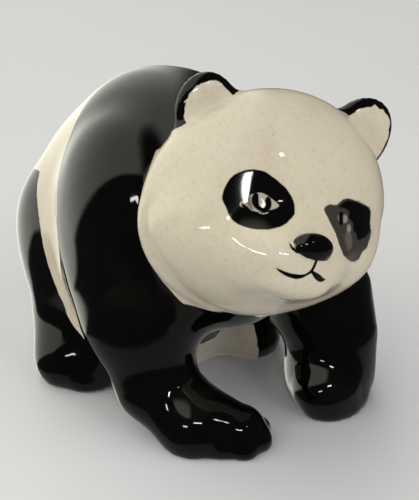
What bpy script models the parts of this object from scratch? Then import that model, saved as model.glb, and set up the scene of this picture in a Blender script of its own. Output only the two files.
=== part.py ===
"""A walking panda cub in glazed earthenware: one slip-cast piece on four feet and the belly."""

import math

import bmesh
import bpy
import numpy as np
from mathutils import Matrix, Vector

# From the floor to the tip of the cub's right ear, in metres
HEIGHT = 0.100

# Every length below is in hundredths of the height
# +X is the cub's left, -Y is ahead of it and +Z is up from the floor
SHARE = HEIGHT / 100

# Trunk masses: centre, half widths, turn about Z in degrees, softness of the join
TRUNK = (
    ((-1.4, 6.4, 61.0), (28.3, 25.5, 27.9), 0, 0),
    ((-1.4, 18.4, 45.9), (27.7, 31.5, 42.2), 0, 12),
    ((-1.4, 34.0, 42.4), (29.4, 21.9, 29.3), 0, 12),
    ((-1.6, 19.7, 11.4), (30.7, 18.9, 17.8), -20, 8),
    ((-1.4, -11.9, 47.4), (21.2, 21.9, 22.1), 0, 6),
    ((0.5, -11.0, 68.0), (20.0, 15.0, 17.5), 0, 6),
    ((-1.4, 51.5, 36.0), (5.6, 6.0, 8.0), 0, 3),
)

# Legs: the mass of the shoulder or haunch, then knee, ankle, heel and toe with their radii
LEGS = {
    "fore_right": (
        ((-21.7, 4.1, 46.9), (14.8, 22.2, 36.0)),
        ((-23.0, -3.8, 29.7), 14.4),
        ((-24.3, -10.9, 13.0), 9.8),
        ((-20.6, -23.4, 5.0), 9.4),
        ((-13.2, -33.0, 4.6), 7.0),
    ),
    "fore_left": (
        ((16.8, -8.1, 47.7), (14.3, 16.7, 25.4)),
        ((24.4, -23.9, 27.9), 13.7),
        ((24.8, -29.5, 17.7), 11.2),
        ((22.7, -31.0, 6.4), 11.5),
        ((16.2, -36.2, 6.2), 8.6),
    ),
    "hind_right": (
        ((-20.4, 35.3, 37.8), (12.3, 19.8, 20.2)),
        ((-21.8, 32.3, 25.7), 10.5),
        ((-23.2, 32.0, 13.9), 9.8),
        ((-28.0, 24.8, 6.0), 10.0),
        ((-25.9, 19.7, 5.4), 8.7),
    ),
    "hind_left": (
        ((17.6, 28.4, 37.8), (12.3, 19.8, 20.2)),
        ((21.3, 24.3, 24.7), 10.9),
        ((23.3, 18.4, 13.8), 10.4),
        ((25.3, 11.5, 6.9), 10.7),
        ((21.6, 2.3, 5.4), 9.0),
    ),
}
LEG_DROP = 8
UPPER_TAPER = 0.88
UPPER_BLEND = 8
JOINT_BLEND = 6
LEG_TO_TRUNK = 7.5

# Toes: pad centre, reach from it, first and last bearing from -Y towards +X, radius of a toe
TOES = {
    "fore_right": ((-12.8, -31.6), 9.8, -72, 76, 3.0),
    "fore_left": ((19.6, -33.5), 11.1, -60, 34, 3.4),
    "hind_right": ((-25.9, 19.7), 8.9, -58, 40, 3.0),
    "hind_left": ((21.6, 2.3), 9.2, -40, 58, 3.0),
}
TOE_COUNT = 4
TOE_LIFT = 2.0
TOE_BLEND = 1.8

# Head: centre, and its turn to the right, tilt and roll in degrees
HEAD_CENTRE = (-0.2, -27.4, 65.7)
HEAD_YAW = -19.6
HEAD_PITCH = -4.6
HEAD_ROLL = 19.4

# Masses of the head in its own axes: centre, half widths, softness of the join
HEAD = (
    ((0.0, 0.0, 0.0), (31.2, 20.4, 29.3), 0),
    ((0.0, -2.9, -6.6), (29.0, 20.0, 13.4), 8),
    ((0.0, -17.4, -6.5), (14.0, 12.6, 10.3), 6),
    ((0.0, -24.0, -10.4), (8.6, 6.0, 4.4), 2.0),
    ((0.0, -28.0, -0.8), (5.0, 2.7, 3.4), 0.9),
)
# The ruff is a roll round the face, with a crease between them
RUFF_CENTRE = (0.0, 0.2, -4.8)
RUFF_REACH = (29.6, 22.5)
RUFF_RADIUS = 3.5
RUFF_BLEND = 0.4
HEAD_TO_BODY = 1.2

# Ears: centre, half widths, lean outwards in degrees
EARS = (
    ((-20.9, 3.7, 17.7), (8.5, 3.8, 11.2), -25),
    ((20.7, 4.1, 20.2), (9.4, 3.8, 11.9), 25),
)
EAR_BLEND = 3.0
DISH_AHEAD = 4.6
DISH_SHARE = 0.72
DISH_HALF_DEPTH = 2.2
DISH_BLEND = 1.5

# Fineness of the skin and the most triangles that the finished casting may have
FIRST_VOXEL = 1.2
TRIANGLES = 9600
FIRST_STEPS = 4
LAST_STEPS = 10
LONGEST_STEP = 1.2
LEAST_SLOPE = 0.5
PROBE = 0.03
BALL_SIDES = 32
BALL_RINGS = 20
RUFF_BEADS = 60
LIMB_BALLS = 6

# Cream glaze, as 8 bit sRGB, and its gloss
GLAZE_COLOUR = (205, 197, 180)
SRGB_GAMMA = 2.2
GLAZE_ROUGHNESS = 0.1


def ellipsoid(points, centre, halves, axes=None):
    """How far each point lies outside an ellipsoid, whose axes are the columns of axes."""
    offset = points - np.array(centre)
    if axes is not None:
        offset = offset @ axes
    halves = np.array(halves)
    reach = np.sqrt(((offset / halves) ** 2).sum(-1))
    slope = np.sqrt(((offset / halves ** 2) ** 2).sum(-1))
    return reach * (reach - 1) / np.maximum(slope, 1e-9)


def taper(points, start, end, start_radius, end_radius):
    """How far each point lies outside a round limb that runs from start to end."""
    start = np.array(start)
    run = np.array(end) - start
    along = np.clip((points - start) @ run / (run @ run), 0, 1)
    offset = points - start - along[..., None] * run
    return np.sqrt((offset ** 2).sum(-1)) - start_radius - (end_radius - start_radius) * along


def blend(first, second, softness):
    """The union of two forms, filled along their crease over the softness."""
    if softness == 0:
        return np.minimum(first, second)
    near = np.maximum(softness - np.abs(first - second), 0) / softness
    return np.minimum(first, second) - near ** 2 * softness / 4


def carve(form, tool, softness):
    """The form with the tool taken out of it, its edge rounded over the softness."""
    return -blend(-form, tool, softness)


def turned(degrees, axis):
    """A turn about one axis, as a numpy matrix."""
    return np.array(Matrix.Rotation(math.radians(degrees), 3, axis))


def head_axes():
    """The head's own axes in the figure: its left, its back and its crown."""
    return turned(HEAD_YAW, "Z") @ turned(HEAD_PITCH, "X") @ turned(HEAD_ROLL, "Y")


def upper_limb(leg):
    """The stretch from inside the shoulder or haunch down to the knee."""
    (centre, halves), (knee, knee_radius) = leg[0], leg[1]
    start = (centre[0], centre[1], centre[2] - LEG_DROP)
    return start, knee, min(halves[0], halves[1]) * UPPER_TAPER, knee_radius


def toe_centres(name):
    """The middles of one foot's toes, spread on an arc in front of its pad."""
    pad, reach, first, last, radius = TOES[name]
    for bearing in np.radians(np.linspace(first, last, TOE_COUNT)):
        x = pad[0] + (reach - radius) * math.sin(bearing)
        y = pad[1] - (reach - radius) * math.cos(bearing)
        yield (x, y, TOE_LIFT), radius


def leg_form(points, name):
    """One leg with its foot and toes."""
    leg = LEGS[name]
    form = ellipsoid(points, *leg[0])
    form = blend(form, taper(points, *upper_limb(leg)), UPPER_BLEND)
    for (start, start_radius), (end, end_radius) in zip(leg[1:], leg[2:]):
        form = blend(form, taper(points, start, end, start_radius, end_radius), JOINT_BLEND)
    for centre, radius in toe_centres(name):
        form = blend(form, ellipsoid(points, centre, (radius,) * 3), TOE_BLEND)
    return form


def ruff_form(points):
    """The roll of fur behind the face, a ring round the head's own Y axis."""
    x, y, z = (points - np.array(RUFF_CENTRE)).T
    round_it = np.sqrt((x / RUFF_REACH[0]) ** 2 + (z / RUFF_REACH[1]) ** 2)
    share = 1 - 1 / np.maximum(round_it, 1e-3)
    return np.sqrt((x ** 2 + z ** 2) * share ** 2 + y ** 2) - RUFF_RADIUS


def ear_form(points, centre, halves, lean):
    """One ear, dished in front."""
    axes = turned(lean, "Y")
    ear = ellipsoid(points, centre, halves, axes)
    dish_centre = np.array(centre) + axes @ np.array((0, -DISH_AHEAD, 0))
    dish = (halves[0] * DISH_SHARE, DISH_HALF_DEPTH, halves[2] * DISH_SHARE)
    return carve(ear, ellipsoid(points, dish_centre, dish, axes), DISH_BLEND)


def head_form(points):
    """The head with its ruff, nose and ears."""
    local = (points - np.array(HEAD_CENTRE)) @ head_axes()
    form = ellipsoid(local, *HEAD[0][:2])
    for centre, halves, softness in HEAD[1:]:
        form = blend(form, ellipsoid(local, centre, halves), softness)
    form = blend(form, ruff_form(local), RUFF_BLEND)
    for ear in EARS:
        form = blend(form, ear_form(local, *ear), EAR_BLEND)
    return form


def figure_form(points):
    """The whole casting above the floor."""
    form = ellipsoid(points, *TRUNK[0][:2])
    for centre, halves, turn, softness in TRUNK[1:]:
        form = blend(form, ellipsoid(points, centre, halves, turned(turn, "Z")), softness)
    for name in LEGS:
        form = blend(form, leg_form(points, name), LEG_TO_TRUNK)
    form = blend(form, head_form(points), HEAD_TO_BODY)
    return np.maximum(form, -points[..., 2])


def empty_scene():
    """Removes whatever the file opened with."""
    for thing in list(bpy.data.objects):
        bpy.data.objects.remove(thing)


def unit_ball():
    """A ball of radius 1, copied for each mass of the rough figure."""
    build = bmesh.new()
    bmesh.ops.create_uvsphere(build, u_segments=BALL_SIDES, v_segments=BALL_RINGS, radius=1)
    mesh = bpy.data.meshes.new("ball")
    build.to_mesh(mesh)
    build.free()
    return mesh


def add_ball(build, ball, centre, halves, axes=None):
    """Adds one round mass to the rough figure."""
    turn = Matrix(axes.tolist()).to_4x4() if axes is not None else Matrix.Identity(4)
    mass = ball.copy()
    mass.transform(Matrix.Translation(Vector(centre)) @ turn @ Matrix.Diagonal((*halves, 1)))
    build.from_mesh(mass)
    bpy.data.meshes.remove(mass)


def add_limb(build, ball, start, end, start_radius, end_radius):
    """Adds a row of balls from start to end, close enough to read as one limb."""
    for along in np.linspace(0, 1, LIMB_BALLS):
        centre = np.array(start) * (1 - along) + np.array(end) * along
        radius = start_radius * (1 - along) + end_radius * along
        add_ball(build, ball, centre, (radius,) * 3)


def rough_figure(name):
    """The masses and limbs as overlapping balls in one mesh."""
    build = bmesh.new()
    ball = unit_ball()
    for centre, halves, turn, _ in TRUNK:
        add_ball(build, ball, centre, halves, turned(turn, "Z"))
    for leg_name, leg in LEGS.items():
        add_ball(build, ball, *leg[0])
        add_limb(build, ball, *upper_limb(leg))
        for (start, start_radius), (end, end_radius) in zip(leg[1:], leg[2:]):
            add_limb(build, ball, start, end, start_radius, end_radius)
        for centre, radius in toe_centres(leg_name):
            add_ball(build, ball, centre, (radius,) * 3)
    axes = head_axes()
    masses = [(centre, halves, axes) for centre, halves, _ in HEAD]
    masses += [(centre, halves, axes @ turned(lean, "Y")) for centre, halves, lean in EARS]
    for angle in np.linspace(0, 2 * math.pi, RUFF_BEADS, endpoint=False):
        reach = (RUFF_REACH[0] * math.cos(angle), 0, RUFF_REACH[1] * math.sin(angle))
        masses.append((np.add(RUFF_CENTRE, reach), (RUFF_RADIUS,) * 3, None))
    for centre, halves, turn in masses:
        add_ball(build, ball, axes @ np.array(centre) + np.array(HEAD_CENTRE), halves, turn)
    mesh = bpy.data.meshes.new(name)
    build.to_mesh(mesh)
    build.free()
    figure = bpy.data.objects.new(name, mesh)
    collection = bpy.data.collections.new("panda_figurine")
    bpy.context.scene.collection.children.link(collection)
    collection.objects.link(figure)
    return figure


def apply_modifier(figure, kind, **settings):
    """Adds one modifier, sets it and keeps its result."""
    modifier = figure.modifiers.new(kind.lower(), kind)
    for key, value in settings.items():
        setattr(modifier, key, value)
    bpy.context.view_layer.objects.active = figure
    bpy.ops.object.modifier_apply(modifier=modifier.name)


def cut_at_floor(figure):
    """Saws the feet and the belly off flat at the floor."""
    build = bmesh.new()
    build.from_mesh(figure.data)
    everything = build.verts[:] + build.edges[:] + build.faces[:]
    bmesh.ops.bisect_plane(
        build, geom=everything, plane_co=(0, 0, 0), plane_no=(0, 0, 1), clear_inner=True)
    rim = [edge for edge in build.edges if edge.is_boundary]
    bmesh.ops.holes_fill(build, edges=rim, sides=0)
    build.to_mesh(figure.data)
    build.free()


def settle(figure, count):
    """Moves the skin onto the true form in a few steps, which also carves it."""
    mesh = figure.data
    points = np.empty(len(mesh.vertices) * 3)
    mesh.vertices.foreach_get("co", points)
    points = points.reshape(-1, 3)
    probes = np.eye(3) * PROBE
    for _ in range(count):
        away = figure_form(points)
        slope = [(figure_form(points + probe) - away) / PROBE for probe in probes]
        slope = np.stack(slope, -1)
        length = np.maximum((slope ** 2).sum(-1), LEAST_SLOPE ** 2)
        move = np.clip(away / length, -LONGEST_STEP, LONGEST_STEP)
        points -= move[:, None] * slope
        points[:, 2] = np.maximum(points[:, 2], 0)
    mesh.vertices.foreach_set("co", points.ravel())
    mesh.update()


def finish(figure):
    """Triangles only, in metres, with the middle of its footprint at the origin."""
    build = bmesh.new()
    build.from_mesh(figure.data)
    bmesh.ops.triangulate(build, faces=build.faces)
    bmesh.ops.recalc_face_normals(build, faces=build.faces)
    corners = np.array([vertex.co for vertex in build.verts])
    middle = (corners.min(0) + corners.max(0)) / 2
    shift = Vector((-middle[0], -middle[1], -corners[:, 2].min()))
    bmesh.ops.translate(build, verts=build.verts, vec=shift)
    bmesh.ops.scale(build, verts=build.verts, vec=(SHARE,) * 3)
    build.to_mesh(figure.data)
    build.free()
    figure.data.shade_smooth()


def glaze(figure):
    """The cream glaze that most of the head and back has."""
    material = bpy.data.materials.new("glazed_earthenware")
    material.use_nodes = True
    shader = material.node_tree.nodes["Principled BSDF"]
    colour = [(channel / 255) ** SRGB_GAMMA for channel in GLAZE_COLOUR]
    shader.inputs["Base Color"].default_value = (*colour, 1)
    shader.inputs["Roughness"].default_value = GLAZE_ROUGHNESS
    figure.data.materials.append(material)


empty_scene()
panda = rough_figure("panda")
apply_modifier(panda, "REMESH", mode="VOXEL", voxel_size=FIRST_VOXEL)
cut_at_floor(panda)
settle(panda, FIRST_STEPS)
triangles = sum(len(polygon.vertices) - 2 for polygon in panda.data.polygons)
apply_modifier(panda, "DECIMATE", ratio=TRIANGLES / triangles)
settle(panda, LAST_STEPS)
finish(panda)
glaze(panda)
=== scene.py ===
"""A walking panda cub in glazed earthenware, dressed as the potter makes it: cast, glazed, painted."""

import math

import bpy
import numpy as np
from mathutils import Matrix, Vector


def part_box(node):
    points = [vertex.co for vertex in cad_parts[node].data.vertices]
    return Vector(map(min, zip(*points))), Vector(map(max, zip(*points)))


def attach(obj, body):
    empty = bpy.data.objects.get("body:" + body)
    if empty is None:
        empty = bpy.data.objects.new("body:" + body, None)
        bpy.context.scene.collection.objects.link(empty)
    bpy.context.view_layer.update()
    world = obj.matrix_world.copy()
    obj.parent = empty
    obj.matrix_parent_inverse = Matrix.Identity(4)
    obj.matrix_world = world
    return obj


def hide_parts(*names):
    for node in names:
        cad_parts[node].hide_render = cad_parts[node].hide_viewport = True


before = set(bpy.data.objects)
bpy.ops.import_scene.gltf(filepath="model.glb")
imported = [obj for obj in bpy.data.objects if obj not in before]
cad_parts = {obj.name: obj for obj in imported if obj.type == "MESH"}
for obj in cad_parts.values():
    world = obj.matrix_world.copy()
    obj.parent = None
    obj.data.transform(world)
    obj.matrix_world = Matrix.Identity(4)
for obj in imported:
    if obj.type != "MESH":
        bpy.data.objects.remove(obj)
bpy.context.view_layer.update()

# The casting
# One hollow slip casting of pale earthenware, poured in a plaster mould and fettled smooth.
# The solid in the frame is the same figure with few faces: a copy of it is meshed finer here,
# then pressed onto the round masses and limbs that the figure was modelled from.
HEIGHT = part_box("panda")[1].z

# Every length below is in hundredths of the height, from the floor up
# +X is the cub's left, -Y is ahead of it and +Z is up
SHARE = HEIGHT / 100
# The middle of the footprint, where the frame has its origin
FOOTPRINT_MIDDLE = (0.066, 0.490, 0.0)

# Trunk: the back's hump, the barrel, the rump, the low belly, the chest, the neck and the tail
# Each is a centre, half widths, turn about Z in degrees and softness of the join
TRUNK = (
    ((-1.4, 6.4, 61.0), (28.3, 25.5, 27.9), 0, 0),
    ((-1.4, 18.4, 45.9), (27.7, 31.5, 42.2), 0, 12),
    ((-1.4, 34.0, 42.4), (29.4, 21.9, 29.3), 0, 12),
    ((-1.6, 19.7, 11.4), (30.7, 18.9, 17.8), -20, 8),
    ((-1.4, -11.9, 47.4), (21.2, 21.9, 22.1), 0, 6),
    ((0.5, -11.0, 68.0), (20.0, 15.0, 17.5), 0, 6),
    ((-1.4, 51.5, 36.0), (5.6, 6.0, 8.0), 0, 3),
)

# Legs: the mass of the shoulder or haunch, then knee, ankle, heel and toe with their radii
LEGS = {
    "fore_right": (
        ((-21.7, 4.1, 46.9), (14.8, 22.2, 36.0)),
        ((-23.0, -3.8, 29.7), 14.4),
        ((-24.3, -10.9, 13.0), 9.8),
        ((-20.6, -23.4, 5.0), 9.4),
        ((-13.2, -33.0, 4.6), 7.0),
    ),
    "fore_left": (
        ((16.8, -8.1, 47.7), (14.3, 16.7, 25.4)),
        ((24.4, -23.9, 27.9), 13.7),
        ((24.8, -29.5, 17.7), 11.2),
        ((22.7, -31.0, 6.4), 11.5),
        ((16.2, -36.2, 6.2), 8.6),
    ),
    "hind_right": (
        ((-20.4, 35.3, 37.8), (12.3, 19.8, 20.2)),
        ((-21.8, 32.3, 25.7), 10.5),
        ((-23.2, 32.0, 13.9), 9.8),
        ((-28.0, 24.8, 6.0), 10.0),
        ((-25.9, 19.7, 5.4), 8.7),
    ),
    "hind_left": (
        ((17.6, 28.4, 37.8), (12.3, 19.8, 20.2)),
        ((21.3, 24.3, 24.7), 10.9),
        ((23.3, 18.4, 13.8), 10.4),
        ((25.3, 11.5, 6.9), 10.7),
        ((21.6, 2.3, 5.4), 9.0),
    ),
}
# The upper leg starts this far below the middle of its mass, with this share of its half width
LEG_DROP = 8
UPPER_TAPER = 0.88
# How soft the joins are: shoulder to upper leg, limb to limb, leg to trunk
UPPER_BLEND = 8
JOINT_BLEND = 6
LEG_TO_TRUNK = 7.5

# Toes: pad centre, reach of their tips from it, first and last bearing from -Y towards +X, radius
TOES = {
    "fore_right": ((-12.8, -31.6), 9.8, -72, 76, 3.0),
    "fore_left": ((19.6, -33.5), 11.1, -60, 34, 3.4),
    "hind_right": ((-25.9, 19.7), 8.9, -58, 40, 3.0),
    "hind_left": ((21.6, 2.3), 9.2, -40, 58, 3.0),
}
# Toes on each foot, and the height of their middles
TOE_COUNT = 4
TOE_LIFT = 2.0
# The clay between the toes is fuller here than in the solid, as the glaze fills it
TOE_BLEND = 3.2

# Head: centre, and its turn to the right, tilt and roll in degrees
HEAD_CENTRE = (-0.2, -27.4, 65.7)
HEAD_YAW = -19.6
HEAD_PITCH = -4.6
HEAD_ROLL = 19.4
# How soft the head joins the body
HEAD_TO_BODY = 1.2

# The skull, the cheeks, the muzzle, the lips and the nose, in the head's own axes
# Each is a centre, half widths and softness of the join
HEAD = (
    ((0.0, 0.0, 0.0), (31.2, 20.4, 29.3), 0),
    ((0.0, -2.9, -6.6), (29.0, 20.0, 13.4), 8),
    ((0.0, -17.4, -6.5), (14.0, 12.6, 10.3), 6),
    ((0.0, -24.0, -10.4), (8.6, 6.0, 4.4), 2.0),
    ((0.0, -28.0, -0.8), (5.0, 2.7, 3.4), 0.9),
)
# The ruff is a roll round the face, with a crease between them: centre, reach across and up, radius
RUFF_CENTRE = (0.0, 0.2, -4.8)
RUFF_REACH = (29.6, 22.5)
RUFF_RADIUS = 3.5
RUFF_BLEND = 0.4
# Towards the crown the ruff dies away into the head: how much softer it gets, between which heights
RUFF_FADE = 6.0
RUFF_FADE_FROM = (-7.0, 6.0)

# Ears: centre, half widths, lean outwards in degrees
EARS = (
    ((-20.9, 3.7, 17.7), (8.5, 3.8, 11.2), -25),
    ((20.7, 4.1, 20.2), (9.4, 3.8, 11.9), 25),
)
EAR_BLEND = 3.0
# The dish in an ear's front: how far ahead its middle lies, its share of the ear's width and height,
# its half depth and how soft its edge is
DISH_AHEAD = 4.6
DISH_SHARE = 0.72
DISH_HALF_DEPTH = 2.2
DISH_BLEND = 1.5

# Keeps a division from meeting nought
NEARLY_NOUGHT = 1e-9


def ellipsoid(points, centre, halves, axes=None):
    """How far each point lies outside an ellipsoid, whose axes are the columns of axes."""
    offset = points - np.array(centre)
    if axes is not None:
        offset = offset @ axes
    halves = np.array(halves)
    reach = np.sqrt(((offset / halves) ** 2).sum(-1))
    slope = np.sqrt(((offset / halves ** 2) ** 2).sum(-1))
    return reach * (reach - 1) / np.maximum(slope, NEARLY_NOUGHT)


def taper(points, start, end, start_radius, end_radius):
    """How far each point lies outside a round limb that runs from start to end."""
    start = np.array(start)
    run = np.array(end) - start
    along = np.clip((points - start) @ run / (run @ run), 0, 1)
    offset = points - start - along[..., None] * run
    return np.sqrt((offset ** 2).sum(-1)) - start_radius - (end_radius - start_radius) * along


def blend(first, second, softness):
    """The union of two forms, filled along their crease over the softness."""
    softness = np.maximum(softness, NEARLY_NOUGHT)
    near = np.maximum(softness - np.abs(first - second), 0) / softness
    return np.minimum(first, second) - near ** 2 * softness / 4


def carve(form, tool, softness):
    """The form with the tool taken out of it, its edge rounded over the softness."""
    return -blend(-form, tool, softness)


def turned(degrees, axis):
    """A turn about one axis, as a numpy matrix."""
    return np.array(Matrix.Rotation(math.radians(degrees), 3, axis))


def in_head(points):
    """The points in the head's own axes: its left, its back and its crown."""
    axes = turned(HEAD_YAW, "Z") @ turned(HEAD_PITCH, "X") @ turned(HEAD_ROLL, "Y")
    return (points - np.array(HEAD_CENTRE)) @ axes


def leg_form(points, name):
    """One leg with its foot and toes."""
    leg = LEGS[name]
    (centre, halves), (knee, knee_radius) = leg[0], leg[1]
    start = (centre[0], centre[1], centre[2] - LEG_DROP)
    start_radius = min(halves[0], halves[1]) * UPPER_TAPER
    form = ellipsoid(points, centre, halves)
    form = blend(form, taper(points, start, knee, start_radius, knee_radius), UPPER_BLEND)
    for (start, start_radius), (end, end_radius) in zip(leg[1:], leg[2:]):
        form = blend(form, taper(points, start, end, start_radius, end_radius), JOINT_BLEND)
    pad, reach, first, last, radius = TOES[name]
    for bearing in np.radians(np.linspace(first, last, TOE_COUNT)):
        x = pad[0] + (reach - radius) * math.sin(bearing)
        y = pad[1] - (reach - radius) * math.cos(bearing)
        form = blend(form, ellipsoid(points, (x, y, TOE_LIFT), (radius,) * 3), TOE_BLEND)
    return form


def ruff_form(local):
    """The roll of fur behind the face, a ring round the head's own Y axis."""
    x, y, z = (local - np.array(RUFF_CENTRE)).T
    round_it = np.sqrt((x / RUFF_REACH[0]) ** 2 + (z / RUFF_REACH[1]) ** 2)
    share = 1 - 1 / np.maximum(round_it, NEARLY_NOUGHT)
    return np.sqrt((x ** 2 + z ** 2) * share ** 2 + y ** 2) - RUFF_RADIUS


def ear_form(local, centre, halves, lean):
    """One ear, dished in front."""
    axes = turned(lean, "Y")
    ear = ellipsoid(local, centre, halves, axes)
    dish_centre = np.array(centre) + axes @ np.array((0, -DISH_AHEAD, 0))
    dish = (halves[0] * DISH_SHARE, DISH_HALF_DEPTH, halves[2] * DISH_SHARE)
    return carve(ear, ellipsoid(local, dish_centre, dish, axes), DISH_BLEND)


def face_form(local):
    """The masses of the head, without the ruff and the ears."""
    form = ellipsoid(local, *HEAD[0][:2])
    for centre, halves, softness in HEAD[1:]:
        form = blend(form, ellipsoid(local, centre, halves), softness)
    return form


def ruff_fade(local):
    """Nought below the cheeks and one at the crown, where the ruff has died away."""
    start, end = RUFF_FADE_FROM
    return np.clip((local[:, 2] - start) / (end - start), 0, 1)


def skull_form(local):
    """The head with its ruff and nose, without the ears."""
    softness = RUFF_BLEND + RUFF_FADE * ruff_fade(local)
    return blend(face_form(local), ruff_form(local), softness)


def head_form(points):
    """The head with both ears."""
    local = in_head(points)
    form = skull_form(local)
    for ear in EARS:
        form = blend(form, ear_form(local, *ear), EAR_BLEND)
    return form


def trunk_form(points):
    """The back, the belly, the chest, the neck and the tail."""
    form = ellipsoid(points, *TRUNK[0][:2])
    for centre, halves, turn, softness in TRUNK[1:]:
        form = blend(form, ellipsoid(points, centre, halves, turned(turn, "Z")), softness)
    return form


def figure_form(points):
    """The whole casting above the floor."""
    form = trunk_form(points)
    for name in LEGS:
        form = blend(form, leg_form(points, name), LEG_TO_TRUNK)
    form = blend(form, head_form(points), HEAD_TO_BODY)
    return np.maximum(form, -points[..., 2])


# Metres: points closer than this are one, and the mesh's grid
DOUBLES = 1e-7
BODY_GRID = 0.00078

bpy.ops.object.select_all(action="DESELECT")
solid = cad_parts["panda"]
cub = solid.copy()
cub.data = solid.data.copy()
cub.name = "panda_casting"
cub.data.name = "panda_casting"
cub.parent = None
# The copy gives up the node's own material and labels
cub.data.materials.clear()
for key in list(cub.keys()):
    del cub[key]
bpy.context.scene.collection.objects.link(cub)
cub.select_set(True)
bpy.context.view_layer.objects.active = cub

bpy.ops.object.mode_set(mode="EDIT")
bpy.ops.mesh.select_all(action="SELECT")
bpy.ops.mesh.remove_doubles(threshold=DOUBLES)
bpy.ops.object.mode_set(mode="OBJECT")
grid = cub.modifiers.new("grid", "REMESH")
grid.mode = "VOXEL"
grid.voxel_size = BODY_GRID
bpy.ops.object.modifier_apply(modifier=grid.name)

# Pressing: rounds for the whole skin and for the finer face, the most that a round moves a point,
# the least slope that is trusted, and how far off the form is probed for its slope
PRESS_ROUNDS = 6
FACE_ROUNDS = 3
PRESS_MOST = 0.8
LEAST_SLOPE = 0.5
PROBE = 0.03


def places(piece):
    """The piece's points in hundredths of the height, in the axes of the tables above."""
    flat = np.empty(len(piece.data.vertices) * 3)
    piece.data.vertices.foreach_get("co", flat)
    return flat.reshape(-1, 3) / SHARE + np.array(FOOTPRINT_MIDDLE)


def set_places(piece, points):
    """Writes the points back into the piece, in metres."""
    flat = (points - np.array(FOOTPRINT_MIDDLE)) * SHARE
    piece.data.vertices.foreach_set("co", flat.ravel())
    piece.data.update()


def press(piece, form, rounds):
    """Moves the skin onto a form, a little in each round, and keeps the soles flat."""
    points = places(piece)
    for _ in range(rounds):
        away = form(points)
        slope = np.stack([(form(points + probe) - away) / PROBE for probe in np.eye(3) * PROBE], -1)
        length = np.maximum((slope ** 2).sum(-1), LEAST_SLOPE ** 2)
        move = np.clip(away / length, -PRESS_MOST, PRESS_MOST)
        points -= move[:, None] * slope
        points[:, 2] = np.maximum(points[:, 2], 0)
    set_places(piece, points)


press(cub, figure_form, PRESS_ROUNDS)

# Finer faces where the brush strokes are, in the head's axes: out to the sides, ahead of, up and down
FACE_WIDE = 24
FACE_BACK = -9
FACE_TALL = 14

local = in_head(places(cub))
on_face = (np.abs(local[:, 0]) < FACE_WIDE) & (local[:, 1] < FACE_BACK) & (np.abs(local[:, 2]) < FACE_TALL)
bpy.ops.object.mode_set(mode="EDIT")
bpy.ops.mesh.select_all(action="DESELECT")
bpy.ops.mesh.select_mode(type="VERT")
bpy.ops.object.mode_set(mode="OBJECT")
cub.data.vertices.foreach_set("select", on_face)
bpy.ops.object.mode_set(mode="EDIT")
bpy.ops.mesh.select_mode(type="FACE")
bpy.ops.mesh.subdivide(number_cuts=1)
bpy.ops.object.mode_set(mode="OBJECT")
press(cub, figure_form, FACE_ROUNDS)
cub.data.shade_smooth()
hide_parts("panda")
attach(cub, "root")

# The black glaze
# A glossy black glaze is brushed on the bisque over the shoulders, the legs, the ears' rims and backs.
# Each border is a distance in hundredths of the height, below zero where the black is.

# The band's rear edge on the right and the left flank: height above the floor, place along Y
BAND_REAR_RIGHT = (
    (0, 4), (10, 6), (18, 12), (25, 15.5), (35, 17.5), (48, 18.4), (60, 20.2), (70, 25.5), (83, 29.4),
)
BAND_REAR_LEFT = ((0, -12), (12, -9), (22, -4), (35, 4), (50, 10), (62, 16), (72, 23), (83, 29.4))
# The hind legs' front edge: height, place along Y
HIND_FRONT_RIGHT = (
    (0, 2), (13, 6), (17.5, 16), (20, 20.7), (28, 21.7), (37, 25.3), (50, 29.6), (58, 35.4), (66, 41),
)
HIND_FRONT_LEFT = ((0, -12), (10, -8), (18, 2), (28, 14), (40, 22), (50, 27), (58, 33), (66, 40))
# The hind legs' edge towards the tail: height, distance from the rump's middle
HIND_INNER = ((0, 10), (15, 10), (30, 11), (45, 16), (56, 22), (66, 30))
RUMP_MIDDLE = TRUNK[2][0][0]
# The left hind foot steps under the belly, and its black starts this much further out there
# The step dies away over this length along Y, and is gone here
LEFT_STEP = 9.0
LEFT_STEP_FADE = 10.0
LEFT_STEP_END = 16.0
# The low belly stays cream, below this height and behind this place
BELLY_TOP = 12.0
BELLY_FRONT = -12.0
# The flanks' borders meet over the back, across this width
FLANK_JOIN = (-6, 10)
# The fore legs are black all over, and this far onto the trunk
FORE_LEG_REACH = 0.5
# A border is smoothed over this much height, up and down
BORDER_SPREAD = 2.5
# Ears: the share of the half width and the half height that stays cream in front,
# how far ahead of the ear's middle the cream starts, and how far the black runs onto the skull
EAR_CREAM = ((0.80, 0.85), (0.81, 0.88))
EAR_FRONT = -0.6
EAR_ROOT = 0.4


def along(table, heights):
    """Reads a border's place from its few points, with a smooth run between them."""
    knots = np.array(table, float)
    steps = (0, -BORDER_SPREAD, BORDER_SPREAD)
    return np.mean([np.interp(heights + step, knots[:, 0], knots[:, 1]) for step in steps], axis=0)


def black_form(points):
    """How far each point lies outside the black of the shoulders and the legs."""
    x, y, z = points.T
    start, end = FLANK_JOIN
    leftness = np.clip((x - start) / (end - start), 0, 1)
    rear = along(BAND_REAR_RIGHT, z) * (1 - leftness) + along(BAND_REAR_LEFT, z) * leftness
    belly = np.maximum(z - BELLY_TOP, BELLY_FRONT - y)
    fore = np.minimum(leg_form(points, "fore_right"), leg_form(points, "fore_left"))
    band = np.minimum(np.maximum(y - rear, -belly), fore - FORE_LEG_REACH)
    inner = along(HIND_INNER, z)
    step = LEFT_STEP * np.clip((LEFT_STEP_END - y) / LEFT_STEP_FADE, 0, 1)
    right = np.maximum(along(HIND_FRONT_RIGHT, z) - y, x - RUMP_MIDDLE + inner)
    left = np.maximum(along(HIND_FRONT_LEFT, z) - y, RUMP_MIDDLE + inner + step - x)
    return np.minimum(band, np.minimum(right, left))


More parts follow.
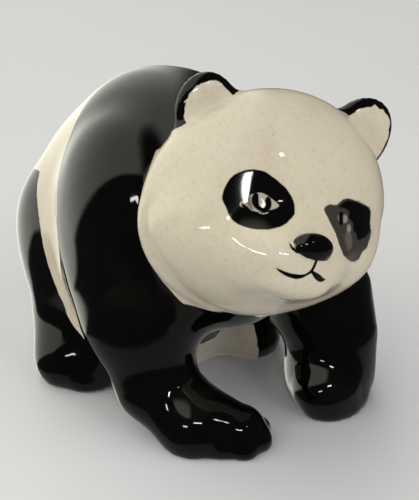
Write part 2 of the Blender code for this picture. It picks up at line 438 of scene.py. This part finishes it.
def body_form(points):
    """How far each point lies outside the trunk and legs, so that the head's crease can be told."""
    body = trunk_form(points)
    for name in LEGS:
        body = np.minimum(body, leg_form(points, name))
    return body


def ear_paint(local):
    """How far each point lies outside the black on the ears' rims and backs."""
    skull = skull_form(local)
    black = np.full(len(local), np.inf)
    for (centre, halves, lean), cream in zip(EARS, EAR_CREAM):
        across, depth, up = ((local - np.array(centre)) @ turned(lean, "Y")).T
        wide, tall = halves[0] * cream[0], halves[2] * cream[1]
        inner = (np.sqrt((across / wide) ** 2 + (up / tall) ** 2) - 1) * wide
        front = np.maximum(inner, depth - EAR_FRONT)
        ear = ear_form(local, centre, halves, lean)
        black = np.minimum(black, np.maximum(-front, ear - skull - EAR_ROOT))
    return black


def attribute(piece, name, values):
    """Keeps one number for each point of the piece, for its glaze to read."""
    layer = piece.data.attributes.new(name, "FLOAT", "POINT")
    layer.data.foreach_set("value", values)


points = places(cub)
local = in_head(points)
attribute(cub, "black_glaze", black_form(points))
attribute(cub, "ear_rims", ear_paint(local))
# The cream of the head ends at the ruff under the cheeks and at the skull above them
fade = ruff_fade(local)
head = head_form(points) * (1 - fade) + face_form(local) * fade
attribute(cub, "below_head", body_form(points) - head)

# The painted face
# The eye patches, nose and mouth are one brushful of black each, painted under the clear glaze.
# Outlines are in the head's own axes, seen from the front: left and up, in hundredths of the height.
PATCH_RIGHT = (
    (-20.4, 4.0), (-19.9, 7.0), (-18.6, 9.3), (-16.2, 11.2), (-13.0, 11.9), (-9.6, 11.0),
    (-6.5, 9.3), (-4.4, 7.0), (-4.3, 4.6), (-6.6, 2.3), (-9.7, 0.5), (-13.5, -0.8),
    (-17.0, -0.7), (-19.2, 1.4),
)
PATCH_LEFT = (
    (3.9, 6.7), (5.2, 7.8), (7.6, 8.0), (9.4, 9.4), (12.0, 9.8), (14.6, 9.0), (17.0, 8.8), (19.5, 7.1),
    (20.4, 3.4), (21.9, 2.4), (21.2, -1.4), (19.4, -2.5), (18.4, -4.3), (15.7, -4.6),
    (11.0, -2.7), (8.6, -0.4), (6.8, 2.7), (4.9, 5.2),
)
NOSE_PAINT = (
    (-5.1, -0.6), (-4.6, 1.2), (-2.2, 3.0), (1.2, 3.6), (4.6, 2.8), (6.0, 0.8),
    (6.1, -1.4), (5.0, -3.0), (2.0, -3.1), (-0.7, -3.2), (-3.1, -2.8), (-4.7, -2.0),
)
# Strokes: points along the middle with the brush's half width at each
PHILTRUM = ((0.6, -2.9, 0.40), (0.7, -4.4, 0.34), (0.2, -5.9, 0.36))
MOUTH_RIGHT = (
    (0.2, -6.0, 0.36), (-1.2, -7.2, 0.34), (-2.8, -7.8, 0.60), (-4.9, -7.9, 0.50),
    (-7.0, -7.5, 0.30), (-8.0, -7.1, 0.08),
)
MOUTH_LEFT = ((0.4, -6.0, 0.36), (2.2, -7.0, 0.75), (3.8, -7.7, 0.60), (5.3, -7.6, 0.10))
NOSTRIL = ((-5.9, -1.1, 0.10), (-5.2, -1.9, 0.32), (-4.2, -2.4, 0.30))
EYE_WHITE_RIGHT = (
    (-16.7, 3.3), (-15.4, 5.2), (-13.6, 6.7), (-11.9, 7.1), (-10.2, 6.6), (-8.0, 5.6),
    (-8.4, 4.9), (-9.9, 4.1), (-11.8, 3.3), (-13.4, 2.9), (-14.9, 2.9),
)
LASH = ((-16.2, 3.7, 0.22), (-15.2, 3.0, 0.48), (-14.2, 2.7, 0.30))
IRIS_RIGHT = (
    (-13.4, 6.3, 0.60), (-13.4, 5.2, 0.82), (-12.9, 4.1, 0.60), (-11.7, 3.7, 0.45),
    (-10.7, 4.2, 0.60), (-10.4, 5.2, 0.82), (-10.5, 6.1, 0.60),
)
# Painted shadow: a brown shade on the eye's white, between the iris and the eye's outer corner, stands in
# for the shadow there
IRIS_SHADE = ((-14.8, 5.4, 0.5), (-14.5, 4.2, 0.6), (-14.0, 3.4, 0.4))
# Painted highlights: the glint by the pupil and the thin arc under the eye stand in for reflections of the
# light
PUPIL_GLINT = ((-11.6, 4.5, 0.42), (-11.3, 5.0, 0.28), (-12.0, 5.9, 0.16))
LOWER_GLINT = ((-12.9, 3.0, 0.02), (-11.6, 2.9, 0.08), (-10.2, 3.5, 0.02))
# The far eye is a wet grey brushing with a denser black over it, and a small eye left pale, with a painted
# highlight beside and below it
FAR_BLACK = (
    (8.4, 7.5), (9.7, 8.8), (12.0, 9.6), (15.2, 9.0), (17.8, 8.2), (20.3, 7.3), (20.7, 4.7),
    (21.2, 2.6), (18.7, 0.8), (16.5, 0.3), (15.7, 1.7), (14.0, 2.5), (13.7, 4.5), (11.9, 5.4),
    (11.9, 6.9), (10.1, 7.5),
)
FAR_THIN = ((12.3, 0.9, 1.5), (12.8, -0.4, 1.3))
FAR_EYE = ((9.1, 5.3, 0.80), (10.9, 5.1, 0.85))
FAR_PUPIL = ((9.4, 5.9, 0.75), (9.5, 4.5, 0.75))
# Painted highlight: a pale wedge beside and below the far eye, standing in for a reflection
FAR_GLINT = ((12.2, 3.9, 0.15), (12.5, 3.0, 0.85))
# The nose is painted this far round its own lump
NOSE_LUMP = HEAD[-1][:2]
NOSE_EDGE = 0.35
# Behind the face no paint is seen: each border moves off by this many times the distance back
BACK_FADE = 3
# Straight runs between two points of an outline
CURVE_STEPS = 5
# What the glaze reads for each colour of the face, apart from the near patch and the nose
OUTLINES = {"far_patch": PATCH_LEFT, "far_black": FAR_BLACK, "eye_white": EYE_WHITE_RIGHT}
STROKES = {
    "mouth_strokes": (PHILTRUM, MOUTH_RIGHT, MOUTH_LEFT, NOSTRIL),
    "eye_shade": (IRIS_SHADE,),
    "eye_strokes": (IRIS_RIGHT, LASH),
    "eye_painted_highlights": (PUPIL_GLINT, LOWER_GLINT),
    "far_thin": (FAR_THIN,),
    "far_eye_and_highlight": (FAR_EYE, FAR_GLINT),
    "far_pupil": (FAR_PUPIL,),
}


def smooth_run(knots, closed):
    """A smooth curve through a few chosen points, as many short straight runs."""
    knots = np.array(knots, float)
    last = len(knots) if closed else len(knots) - 1
    run = []
    for index in range(last):
        if closed:
            before, start, end, after = (knots[(index + k) % len(knots)] for k in (-1, 0, 1, 2))
        else:
            before, start = knots[max(index - 1, 0)], knots[index]
            end, after = knots[index + 1], knots[min(index + 2, len(knots) - 1)]
        for t in np.arange(CURVE_STEPS) / CURVE_STEPS:
            leave, arrive = (end - before) / 2, (after - start) / 2
            run.append(
                start * (2 * t ** 3 - 3 * t ** 2 + 1) + leave * (t ** 3 - 2 * t ** 2 + t)
                + end * (3 * t ** 2 - 2 * t ** 3) + arrive * (t ** 3 - t ** 2))
    if not closed:
        run.append(knots[-1])
    return np.array(run)


def outside_outline(flat, knots):
    """How far each point lies outside a closed brush outline."""
    run = smooth_run(knots, True)
    nearest = np.full(len(flat), np.inf)
    inside = np.zeros(len(flat), bool)
    for start, end in zip(run, np.roll(run, -1, 0)):
        side = end - start
        share = np.clip((flat - start) @ side / (side @ side), 0, 1)
        nearest = np.minimum(nearest, np.hypot(*(flat - start - share[:, None] * side).T))
        crosses = (start[1] > flat[:, 1]) != (end[1] > flat[:, 1])
        rise = side[1] if side[1] else NEARLY_NOUGHT
        inside ^= crosses & (flat[:, 0] < start[0] + (flat[:, 1] - start[1]) * side[0] / rise)
    return np.where(inside, -nearest, nearest)


def outside_stroke(flat, knots):
    """How far each point lies outside one brush stroke, whose width swells and thins."""
    run = smooth_run(knots, False)
    nearest = np.full(len(flat), np.inf)
    for start, end in zip(run, run[1:]):
        side = end[:2] - start[:2]
        share = np.clip((flat - start[:2]) @ side / (side @ side), 0, 1)
        gap = np.hypot(*(flat - start[:2] - share[:, None] * side).T)
        nearest = np.minimum(nearest, gap - start[2] - (end[2] - start[2]) * share)
    return nearest


seen_ahead = local[:, [0, 2]]
behind = np.maximum(local[:, 1] - FACE_BACK, 0) * BACK_FADE
nose = np.maximum(outside_outline(seen_ahead, NOSE_PAINT), ellipsoid(local, *NOSE_LUMP) - NOSE_EDGE)
attribute(cub, "face_black", np.minimum(outside_outline(seen_ahead, PATCH_RIGHT), nose) + behind)
for name, outline in OUTLINES.items():
    attribute(cub, name, outside_outline(seen_ahead, outline) + behind)
for name, strokes in STROKES.items():
    nearest = np.min([outside_stroke(seen_ahead, stroke) for stroke in strokes], axis=0)
    attribute(cub, name, nearest + behind)

# The glaze
# Glossy earthenware glaze: clear over the cream body, black where it was brushed on.
# Fired to a smooth wet gloss, it mirrors the room sharply, with a slight swell and a few pinholes.
CREAM = "C5BCAA"
CREAM_WARM = "CAC1AC"
CREAM_PINK = "BFB1A0"
SPECK = "5A4C3A"
BLACK = "050505"
BLACK_THIN = "14120D"
BRUSHED_GREY = "3A3632"
GREY_THIN = "5C554E"
EYE_PALE = "A8A093"
# The near eye's painted shadow
EYE_SHADOW_BROWN = "6B5F50"
# The far eye's pale paint, also used for its painted highlight
FAR_EYE_AND_HIGHLIGHT_PALE = "857F75"
# The eyes' painted highlights
PAINTED_HIGHLIGHT_WHITE = "F4F4F2"

# Soft patches in the colour: size in millimetres, detail, the noise's height where a patch starts
# and where it is full, and how much it covers there
WARM_PATCHES = (38.5, 3.0, 0.40, 0.72, 1.0)
PINK_PATCHES = (13.3, 4.0, 0.48, 0.78, 1.0)
FINE_SPECKS = (1.111, 3.0, 0.45, 0.85, 0.16)
THIN_PATCHES = (16.7, 3.0, 0.55, 0.90, 1.0)
# Pinholes: spacing in millimetres, shares of it where one starts and is full, how dark it is
PINHOLE_SPACING = 6.67
PINHOLE_EDGE = 0.05
PINHOLE_MIDDLE = 0.025
PINHOLE_COVER = 0.8
# The glaze ran a little as it melted, and swells by a tenth of a millimetre or two
# Its size is in millimetres and its depth in metres
SWELL_SIZE = 16.7
SWELL_DETAIL = 1.0
SWELL_DEPTH = 0.00035
# Brush edges waver by a fraction of a millimetre, over this size in millimetres
WAVER_SIZE = 2.38
WAVER_DETAIL = 2.0
WAVER_MIDDLE = 0.5
# Borders of the black glaze: softness and wavering, in hundredths of the height
BLACK_EDGE = (0.12, 0.9)
HEAD_EDGE = (0.12, 0.0)
EAR_EDGE = (0.10, 1.4)
# The face's colours in the order they are laid, each with its softness and wavering, the eyes' painted
# shadow and highlights among them
FACE_COLOURS = (
    ("mouth_strokes", BLACK, 0.10, 0.3),
    ("far_patch", BRUSHED_GREY, 0.15, 0.6),
    ("far_thin", GREY_THIN, 0.50, 0.8),
    ("far_black", BLACK, 0.30, 1.2),
    ("face_black", BLACK, 0.12, 0.5),
    ("eye_white", EYE_PALE, 0.12, 0.2),
    # Painted shadow on the near eye's white
    ("eye_shade", EYE_SHADOW_BROWN, 0.40, 0.4),
    ("eye_strokes", BLACK, 0.12, 0.2),
    # The far eye and its painted highlight
    ("far_eye_and_highlight", FAR_EYE_AND_HIGHLIGHT_PALE, 0.20, 0.3),
    ("far_pupil", BLACK, 0.15, 0.3),
    # Painted highlights in the near eye
    ("eye_painted_highlights", PAINTED_HIGHLIGHT_WHITE, 0.12, 0.0),
)
# A glossy glaze's values, matched to how strongly the real one mirrors
GLAZE_ROUGHNESS = 0.05
GLAZE_IOR = 1.45
GLAZE_MIRROR = 0.35
# A colour mix node's sockets, which share their names with other kinds: under, over, result
UNDER = 6
OVER = 7
MIXED = 2


def linear(colour):
    """An sRGB hex colour as linear red, green, blue and alpha."""
    shares = [int(colour[at:at + 2], 16) / 255 for at in (0, 2, 4)]
    return (*[s / 12.92 if s <= 0.04045 else ((s + 0.055) / 1.055) ** 2.4 for s in shares], 1.0)


def add(tree, kind, inputs=None, **settings):
    """Adds one node with its settings, values and links, and gives it back."""
    made = tree.nodes.new(kind)
    for key, value in settings.items():
        setattr(made, key, value)
    for key, value in (inputs or {}).items():
        if isinstance(value, bpy.types.NodeSocket):
            tree.links.new(value, made.inputs[key])
        else:
            made.inputs[key].default_value = value
    return made


def per_metre(millimetres):
    """A pattern's scale from its real size, as Object coordinates are in metres."""
    return 1000 / millimetres


glaze = bpy.data.materials.new("glazed_earthenware_gloss")
glaze.use_nodes = True
tree = glaze.node_tree
shader = tree.nodes["Principled BSDF"]
place = add(tree, "ShaderNodeTexCoord").outputs["Object"]
hand = add(
    tree, "ShaderNodeTexNoise",
    {"Vector": place, "Scale": per_metre(WAVER_SIZE), "Detail": WAVER_DETAIL})
waver = add(tree, "ShaderNodeMath", {0: hand.outputs["Fac"], 1: WAVER_MIDDLE}, operation="SUBTRACT")


def covered(name, soft, wander):
    """How much one brushed colour covers, from its border's distance in hundredths of the height."""
    border = add(tree, "ShaderNodeAttribute", attribute_name=name, attribute_type="GEOMETRY")
    moved = add(
        tree, "ShaderNodeMath",
        {0: waver.outputs[0], 1: wander, 2: border.outputs["Fac"]}, operation="MULTIPLY_ADD")
    edge = add(
        tree, "ShaderNodeMapRange",
        {"Value": moved.outputs[0], "From Min": -soft, "From Max": soft, "To Min": 1.0, "To Max": 0.0})
    return edge.outputs["Result"]


def patches(size, detail, start, full, most):
    """How much soft patches cover, from where they start to where they are full."""
    noise = add(tree, "ShaderNodeTexNoise", {"Vector": place, "Scale": per_metre(size), "Detail": detail})
    patch = add(
        tree, "ShaderNodeMapRange",
        {"Value": noise.outputs["Fac"], "From Min": start, "From Max": full, "To Max": most},
        interpolation_type="SMOOTHSTEP")
    return patch.outputs["Result"]


# Pinholes, where grit burnt out of the glaze
spots = add(tree, "ShaderNodeTexVoronoi", {"Vector": place, "Scale": per_metre(PINHOLE_SPACING)})
pinholes = add(
    tree, "ShaderNodeMapRange",
    {"Value": spots.outputs["Distance"], "From Min": PINHOLE_MIDDLE, "From Max": PINHOLE_EDGE,
     "To Min": PINHOLE_COVER, "To Max": 0.0})
# The black is a little browner where it ran thin, and it stops at the crease round the head
black = add(
    tree, "ShaderNodeMix",
    {"Factor": patches(*THIN_PATCHES), UNDER: linear(BLACK), OVER: linear(BLACK_THIN)},
    data_type="RGBA").outputs[MIXED]
black_cover = add(
    tree, "ShaderNodeMath",
    {0: covered("black_glaze", *BLACK_EDGE), 1: covered("below_head", *HEAD_EDGE)},
    operation="MULTIPLY")
layers = [
    (linear(CREAM_WARM), patches(*WARM_PATCHES)),
    (linear(CREAM_PINK), patches(*PINK_PATCHES)),
    (linear(SPECK), patches(*FINE_SPECKS)),
    (linear(SPECK), pinholes.outputs["Result"]),
    (black, black_cover.outputs[0]),
    (black, covered("ear_rims", *EAR_EDGE)),
]
layers += [(linear(colour), covered(name, soft, wander)) for name, colour, soft, wander in FACE_COLOURS]
# Each layer lies over the ones before it
colour = linear(CREAM)
for over, cover in layers:
    mix = add(tree, "ShaderNodeMix", {"Factor": cover, UNDER: colour, OVER: over}, data_type="RGBA")
    colour = mix.outputs[MIXED]
tree.links.new(colour, shader.inputs["Base Color"])
swell = add(
    tree, "ShaderNodeTexNoise",
    {"Vector": place, "Scale": per_metre(SWELL_SIZE), "Detail": SWELL_DETAIL})
ripple = add(
    tree, "ShaderNodeBump", {"Strength": 1.0, "Distance": SWELL_DEPTH, "Height": swell.outputs["Fac"]})
tree.links.new(ripple.outputs["Normal"], shader.inputs["Normal"])
shader.inputs["Roughness"].default_value = GLAZE_ROUGHNESS
shader.inputs["IOR"].default_value = GLAZE_IOR
shader.inputs["Specular IOR Level"].default_value = GLAZE_MIRROR
cub.data.materials.append(glaze)

# The table and the light
# A plain pale table top of matt laminate, which takes soft shadows and mirrors nothing.
# Round it is a bright room with a dark side towards the viewer, which the glaze mirrors.
TABLE_COLOUR = "CDCDD2"
TABLE_ROUGHNESS = 0.6
TABLE_WIDTH = 3.0

bpy.ops.object.select_all(action="DESELECT")
bpy.ops.mesh.primitive_plane_add(size=TABLE_WIDTH, location=(0, 0, 0))
table = bpy.context.object
table.name = "table_top"
laminate = bpy.data.materials.new("pale_matt_laminate")
laminate.use_nodes = True
laminate_shader = laminate.node_tree.nodes["Principled BSDF"]
laminate_shader.inputs["Base Color"].default_value = linear(TABLE_COLOUR)
laminate_shader.inputs["Roughness"].default_value = TABLE_ROUGHNESS
table.data.materials.append(laminate)
# The black glaze hardly mirrors the real table, so the room's darker low half shows in it instead
table.visible_glossy = False

# The room's light lies beyond both of its edges, and the table's light beyond its own
# An edge is a direction, the least cosine to it that lies beyond, and the cosine's softness
LIGHT_EDGES = (
    ((0.364, 0.562, 0.742), 0.0, 0.04),
    ((-0.656, 0.717, 0.233), 0.16, 0.12),
)
TABLE_EDGE = ((0.12, -0.10, -0.988), 0.47, 0.05)
# How bright each part is, in linear red, green, blue and alpha
ROOM_BRIGHT = (1.62, 1.61, 1.46, 1.0)
ROOM_TABLE = (0.30, 0.30, 0.28, 1.0)
ROOM_DIM = (0.05, 0.05, 0.05, 1.0)
# Windows behind the viewer: bearing from -Y towards +X, rise and slant in degrees,
# width and height in metres, watts
WINDOWS = (
    (-33, 33, 0, 0.26, 0.035, 2.0),
    (-66, 18.5, 23, 0.25, 0.05, 1.2),
    (2, 42, 0, 0.06, 0.06, 0.4),
)
# Soft fills from the front and the side, which light the glaze and don't show in it
FILLS = (
    (25, 22, 0, 1.2, 1.2, 10.0),
    (-105, 15, 0, 1.2, 1.2, 3.0),
)
WINDOW_DISTANCE = 1.2
WINDOW_COLOUR = (1.0, 0.99, 0.97)

world = bpy.data.worlds.new("bright_room")
bpy.context.scene.world = world
world.use_nodes = True
room = world.node_tree
looking = add(room, "ShaderNodeTexCoord").outputs["Generated"]


def beyond(towards, least, softness):
    """How much of the room in each direction lies beyond one edge."""
    cosine = add(room, "ShaderNodeVectorMath", {0: looking, 1: towards}, operation="DOT_PRODUCT")
    inside = add(
        room, "ShaderNodeMapRange",
        {"Value": cosine.outputs["Value"], "From Min": least - softness, "From Max": least + softness},
        interpolation_type="SMOOTHSTEP")
    return inside.outputs["Result"]


def direction(bearing, rise):
    """The way to something, from its bearing from -Y towards +X and its rise, in degrees."""
    bearing, rise = math.radians(bearing), math.radians(rise)
    return Vector((
        math.sin(bearing) * math.cos(rise), -math.cos(bearing) * math.cos(rise), math.sin(rise)))


low = add(
    room, "ShaderNodeMix",
    {"Factor": beyond(*TABLE_EDGE), UNDER: ROOM_DIM, OVER: ROOM_TABLE}, data_type="RGBA")
bright = add(
    room, "ShaderNodeMath", {at: beyond(*edge) for at, edge in enumerate(LIGHT_EDGES)},
    operation="MULTIPLY")
light = add(
    room, "ShaderNodeMix",
    {"Factor": bright.outputs[0], UNDER: low.outputs[MIXED], OVER: ROOM_BRIGHT}, data_type="RGBA")
room.links.new(light.outputs[MIXED], room.nodes["Background"].inputs["Color"])

for lamp in WINDOWS + FILLS:
    bearing, rise, slant, width, height, watts = lamp
    outward = direction(bearing, rise)
    bpy.ops.object.light_add(type="AREA", location=outward * WINDOW_DISTANCE)
    window = bpy.context.object
    facing = outward.to_track_quat("Z", "Y").to_matrix()
    window.rotation_euler = (facing @ Matrix.Rotation(math.radians(slant), 3, "Z")).to_euler()
    window.data.shape = "RECTANGLE"
    window.data.size = width
    window.data.size_y = height
    window.data.energy = watts
    window.data.color = WINDOW_COLOUR
    window.visible_glossy = lamp in WINDOWS

# The camera
# The photograph was taken from ahead and from the cub's right, a little above it.
# The distance and the point looked at are in hundredths of the height, from the frame's origin.
CAMERA_RIGHT = 40
CAMERA_UP = 28
CAMERA_DISTANCE = 296.27
CAMERA_TARGET = (-1.54, -6.79, 44.4)
# The photograph's height and the lens's focal length, in its pixels
FRAME_HEIGHT = 500
FOCAL_PIXELS = 1080

back = direction(-CAMERA_RIGHT, CAMERA_UP)
camera_data = bpy.data.cameras.new("viewer")
camera_data.lens = camera_data.sensor_width * FOCAL_PIXELS / FRAME_HEIGHT
camera = bpy.data.objects.new("viewer", camera_data)
bpy.context.scene.collection.objects.link(camera)
camera.location = (Vector(CAMERA_TARGET) + back * CAMERA_DISTANCE) * SHARE
camera.rotation_euler = (-back).to_track_quat("-Z", "Y").to_euler()
bpy.context.scene.camera = camera
# Shown as it is lit, without a film's curve
bpy.context.scene.view_settings.view_transform = "Standard"
